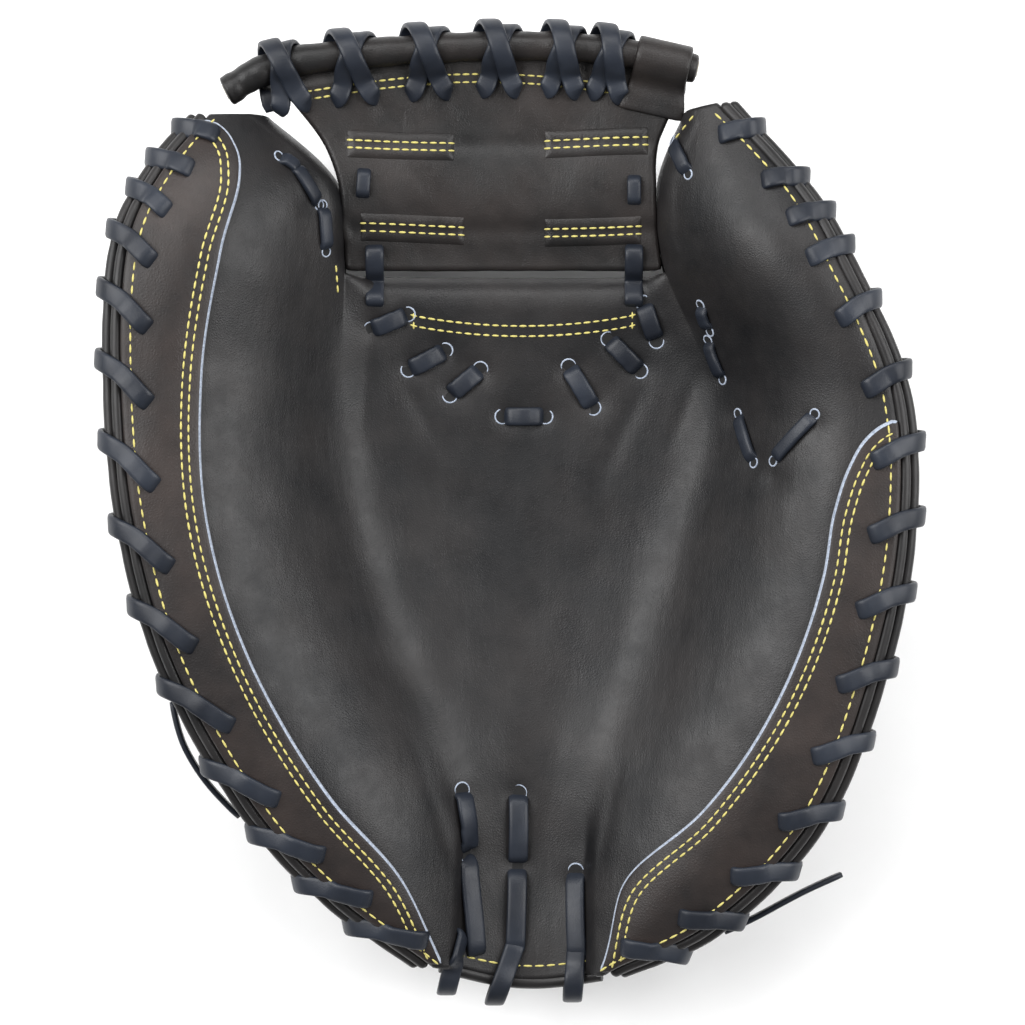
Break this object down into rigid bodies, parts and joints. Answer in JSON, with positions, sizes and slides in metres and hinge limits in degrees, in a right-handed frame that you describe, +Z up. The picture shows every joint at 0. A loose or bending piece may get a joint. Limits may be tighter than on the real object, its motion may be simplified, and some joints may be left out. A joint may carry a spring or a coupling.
{
  "type": "baseball glove",
  "caption": "Black leather catcher's mitt for the left hand, palm up: padded folding thumb and finger sides, laced rim, closed web with rolled edge, wrist strap.",
  "frame": {"origin": "on the table, below the middle of the mitt as it lies on its back", "axes": "+Z up out of the palm, +Y from the heel to the web, +X towards the finger side"},
  "size_m": [0.2474, 0.296, 0.0904],
  "materials": {
    "shell_leather": "black pebbled cowhide, waxed",
    "lining_leather": "soft dark lining leather",
    "felt": "pressed wool felt",
    "lace": "blue-black rawhide lace",
    "welt_leather": "rolled black leather welt",
    "core_cord": "braided filler cord",
    "fleece": "short wool fleece",
    "loop_tape": "black loop tape",
    "hook_tape": "black hook tape",
    "ring_steel": "nickel-plated steel wire"
  },
  "bodies": {
    "palm": {"palm_leather": "shell_leather", "heel_pad": "felt", "palm_pad": "felt", "heel_lining": "lining_leather", "palm_lining": "lining_leather", "pocket_back": "shell_leather", "back_bridge": "shell_leather", "pocket_lace": "lace", "heel_lace": "lace", "heel_welt": "welt_leather", "web_panel": "shell_leather", "web_bar_upper": "shell_leather", "web_bar_lower": "shell_leather", "web_roll": "shell_leather", "web_roll_core": "core_cord", "web_top_lace": "lace", "web_tab_finger": "shell_leather", "web_side_lace": "lace", "web_foot_lace": "lace", "wrist_strap": "shell_leather", "wrist_fleece": "fleece", "loop_patch": "loop_tape", "strap_ring": "ring_steel", "ring_keeper": "shell_leather"},
    "thumb_side": {"thumb_leather": "shell_leather", "thumb_overlay": "shell_leather", "thumb_pad": "felt", "thumb_lining": "lining_leather", "thumb_back": "shell_leather", "thumb_welt_front": "welt_leather", "thumb_welt_back": "welt_leather", "thumb_rim_lace": "lace", "thumb_loop": "lining_leather", "thumb_inner_lace": "lace", "thumb_knot": "lace", "thumb_tail": "lace"},
    "finger_side": {"finger_leather": "shell_leather", "finger_overlay": "shell_leather", "finger_pad": "felt", "finger_lining": "lining_leather", "finger_back": "shell_leather", "finger_welt_front": "welt_leather", "finger_welt_back": "welt_leather", "finger_rim_lace": "lace", "little_finger_loop": "lining_leather", "finger_inner_lace": "lace", "finger_tip_lace": "lace", "finger_knot": "lace", "finger_tail": "lace"},
    "strap_end": {"strap_tab": "shell_leather", "hook_patch": "hook_tape"}
  },
  "joints": [
    {"name": "thumb_fold", "type": "hinge", "parent": "palm", "child": "thumb_side", "pos_m": [-0.01145, -0.13844, 0.05392], "axis": [-0.2067, 0.9784, 0], "range_deg": [0, 40], "stiffness_Nm_per_rad": 1.2},
    {"name": "finger_fold", "type": "hinge", "parent": "palm", "child": "finger_side", "pos_m": [0.05656, 0.07456, 0.05392], "axis": [-0.174, -0.9847, 0], "range_deg": [0, 40], "stiffness_Nm_per_rad": 1.2},
    {"name": "strap_peel", "type": "hinge", "parent": "palm", "child": "strap_end", "pos_m": [0.03655, -0.10044, 0.00542], "axis": [0, -1, 0], "range_deg": [0, 120]}
  ]
}
